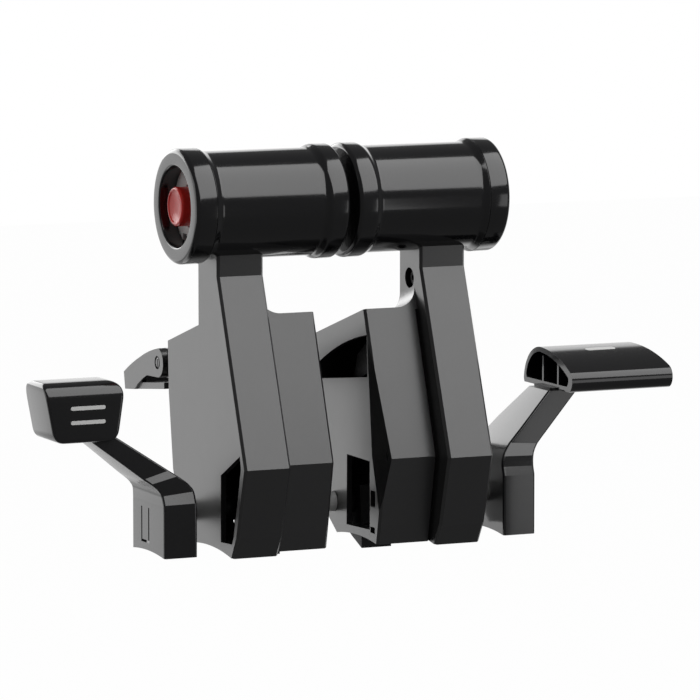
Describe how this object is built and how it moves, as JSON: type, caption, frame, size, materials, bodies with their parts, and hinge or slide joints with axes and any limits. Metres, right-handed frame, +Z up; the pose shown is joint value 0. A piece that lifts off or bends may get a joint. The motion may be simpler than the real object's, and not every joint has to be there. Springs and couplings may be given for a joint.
{
  "type": "throttle quadrant",
  "caption": "Throttle quadrant lever cluster: hollow thrust levers with hand grips, thumb buttons and reverser levers, beside speed-brake and flap levers on one shaft.",
  "frame": {"origin": "on the pivot shaft's axis, midway between the two hand levers", "axes": "+X along the shaft towards the flap lever, +Z up with the levers at mid travel, -Y towards the operator"},
  "size_m": [0.2588, 0.1201, 0.1596],
  "materials": {
    "black_gloss": "gloss",
    "black_satin": "satin",
    "red_plastic": "gloss",
    "steel": "satin",
    "cast_alloy": "matte",
    "bush_polymer": "satin",
    "board": "matte"
  },
  "bodies": {
    "shaft": {"pivot_shaft": "steel", "center_spacer": "bush_polymer", "side_spacer_left": "bush_polymer", "side_spacer_right": "bush_polymer", "retaining_rings": "steel"},
    "thrust_left": {"thrust_shell_left": "black_gloss", "thrust_cover_left": "black_gloss", "lever_core_left": "cast_alloy", "neck_screw_left": "steel", "grip_sleeve_left": "black_gloss", "grip_end_ring_left": "black_gloss", "button_housing_left": "black_satin", "button_spring_left": "steel", "button_board_left": "board"},
    "button_left": {"thumb_button_left": "red_plastic"},
    "reverser_left": {"reverser_lever_left": "black_gloss", "reverser_pin_left": "steel"},
    "thrust_right": {"thrust_shell_right": "black_gloss", "thrust_cover_right": "black_gloss", "lever_core_right": "cast_alloy", "neck_screw_right": "steel", "grip_sleeve_right": "black_gloss", "grip_end_ring_right": "black_gloss", "button_housing_right": "black_satin", "button_spring_right": "steel", "button_board_right": "board"},
    "button_right": {"thumb_button_right": "red_plastic"},
    "reverser_right": {"reverser_lever_right": "black_gloss", "reverser_pin_right": "steel"},
    "speed_brake": {"speed_brake_arm": "black_gloss", "speed_brake_knob": "black_gloss"},
    "flaps": {"flap_arm": "black_gloss", "flap_handle": "black_gloss"}
  },
  "joints": [
    {"name": "thrust_left_hinge", "type": "hinge", "parent": "shaft", "child": "thrust_left", "pos_m": [-0.03, 0, 0], "axis": [1, 0, 0], "range_deg": [-25, 25]},
    {"name": "thrust_right_hinge", "type": "hinge", "parent": "shaft", "child": "thrust_right", "pos_m": [0.03, 0, 0], "axis": [1, 0, 0], "range_deg": [-25, 25]},
    {"name": "button_left_slide", "type": "slide", "parent": "thrust_left", "child": "button_left", "axis": [1, 0, 0], "range_m": [0, 0.0024], "stiffness_N_per_m": 400, "springref_m": -0.0015, "deforming": ["button_spring_left"]},
    {"name": "reverser_left_hinge", "type": "hinge", "parent": "thrust_left", "child": "reverser_left", "pos_m": [-0.03, 0.0285, 0.0543], "axis": [1, 0, 0], "range_deg": [0, 95]},
    {"name": "button_right_slide", "type": "slide", "parent": "thrust_right", "child": "button_right", "axis": [-1, 0, 0], "range_m": [0, 0.0024], "stiffness_N_per_m": 400, "springref_m": -0.0015, "deforming": ["button_spring_right"]},
    {"name": "reverser_right_hinge", "type": "hinge", "parent": "thrust_right", "child": "reverser_right", "pos_m": [0.03, 0.0285, 0.0543], "axis": [1, 0, 0], "range_deg": [0, 95]},
    {"name": "speed_brake_hinge", "type": "hinge", "parent": "shaft", "child": "speed_brake", "pos_m": [-0.067, 0, 0], "axis": [1, 0, 0], "range_deg": [-25, 25]},
    {"name": "flaps_hinge", "type": "hinge", "parent": "shaft", "child": "flaps", "pos_m": [0.067, 0, 0], "axis": [1, 0, 0], "range_deg": [-25, 25]}
  ]
}
